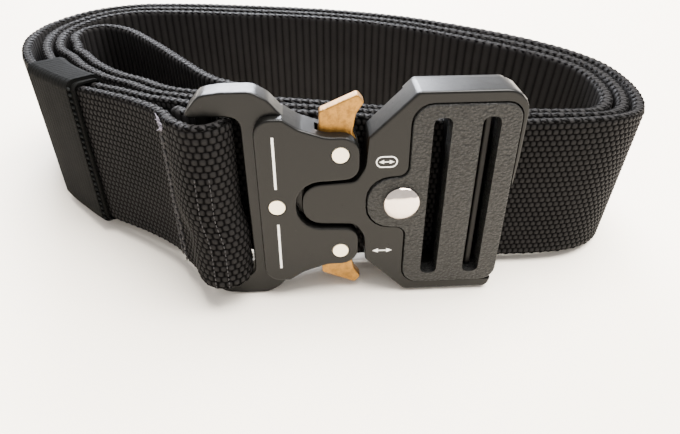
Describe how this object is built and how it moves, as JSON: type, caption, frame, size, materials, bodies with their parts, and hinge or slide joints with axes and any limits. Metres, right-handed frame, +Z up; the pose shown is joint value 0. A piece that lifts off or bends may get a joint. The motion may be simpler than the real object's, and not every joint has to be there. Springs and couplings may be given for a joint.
{
  "type": "tactical belt",
  "caption": "Coiled webbing belt fastened with a two-lever quick-release metal buckle, with an elastic keeper band round the outer layers.",
  "frame": {"origin": "middle of the footprint, on the surface that the belt stands on", "axes": "+X along the buckle from the female half to the male half, +Y from the buckle's face to the back of the coil, +Z up, across the webbing"},
  "size_m": [0.1696, 0.1126, 0.0523],
  "materials": {
    "webbing_black": "coarse plain weave, matt",
    "keeper_elastic": "fine ribbed elastic, matt",
    "buckle_black": "satin black coating",
    "grained_black": "leather-grained black",
    "lever_brass": "satin cast",
    "rivet_steel": "polished"
  },
  "bodies": {
    "belt": {"belt_webbing": "webbing_black", "belt_keeper": "keeper_elastic", "female_body": "buckle_black", "male_frame": "buckle_black", "male_insert": "grained_black", "male_rivet": "rivet_steel", "pivot_rivet_top": "rivet_steel", "pivot_rivet_bottom": "rivet_steel", "body_rivet": "rivet_steel", "adjuster_bar": "rivet_steel"},
    "lever_top_body": {"lever_top": "lever_brass"},
    "lever_bottom_body": {"lever_bottom": "lever_brass"}
  },
  "joints": [
    {"name": "lever_top_press", "type": "hinge", "parent": "belt", "child": "lever_top_body", "pos_m": [0.0054, -0.04524, 0.03861], "axis": [0, 0.9976, -0.0698], "range_deg": [0, 10], "stiffness_Nm_per_rad": 0.05},
    {"name": "lever_bottom_press", "type": "hinge", "parent": "belt", "child": "lever_bottom_body", "pos_m": [0.0054, -0.04698, 0.01377], "axis": [0, 0.9976, -0.0698], "range_deg": [-10, 0], "stiffness_Nm_per_rad": 0.05}
  ]
}
